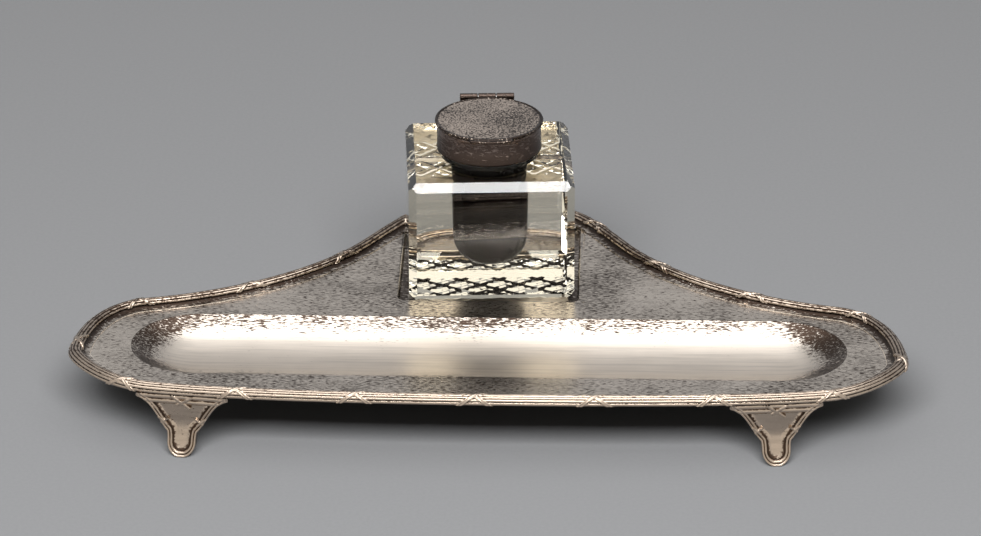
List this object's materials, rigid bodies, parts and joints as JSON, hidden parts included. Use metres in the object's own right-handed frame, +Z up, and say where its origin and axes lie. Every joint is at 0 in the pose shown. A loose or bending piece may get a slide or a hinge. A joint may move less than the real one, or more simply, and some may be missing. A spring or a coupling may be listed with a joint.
{
  "type": "inkwell",
  "caption": "Silver desk inkstand: shaped tray on bracket feet with reeded border and pen trough, loose square glass bottle with hinged flat lid.",
  "frame": {"origin": "under the middle of the tray, on the surface that the feet stand on", "axes": "+X along the tray to the right, -Y towards the front (the pen trough's side), +Z up"},
  "size_m": [0.254, 0.1432, 0.0692],
  "materials": {
    "tray_silver": "polished silver, lightly tarnished and fire-pitted",
    "border_silver": "silver with brown tarnish in the hollows",
    "collar_silver": "dark tarnished silver",
    "lid_silver": "stippled tarnished silver",
    "cut_glass": "clear cut glass, slightly yellow",
    "ink": "dark ink",
    "plaster": "plaster bedding",
    "pin_steel": "plain steel"
  },
  "bodies": {
    "tray": {"tray_plate": "tray_silver", "border_front": "border_silver", "border_right": "border_silver", "border_back": "border_silver", "border_left": "border_silver", "foot_front_left": "border_silver", "foot_front_right": "border_silver", "foot_rear_left": "border_silver", "foot_rear_right": "border_silver"},
    "bottle": {"glass_bottle": "cut_glass", "ink": "ink", "neck_plaster": "plaster", "collar": "collar_silver", "collar_knuckle_left": "collar_silver", "collar_knuckle_right": "collar_silver", "hinge_pin": "pin_steel"},
    "lid": {"lid_disc": "lid_silver", "lid_bezel": "collar_silver", "lid_knuckle": "collar_silver", "thumb_piece": "lid_silver"}
  },
  "joints": [
    {"name": "bottle_lift", "type": "slide", "parent": "tray", "child": "bottle", "axis": [0, 0, 1], "range_m": [0, 0.05]},
    {"name": "lid_hinge", "type": "hinge", "parent": "bottle", "child": "lid", "pos_m": [-0.00291, 0.04716, 0.068], "axis": [-0.9978, -0.0663, 0], "range_deg": [0, 105]}
  ]
}
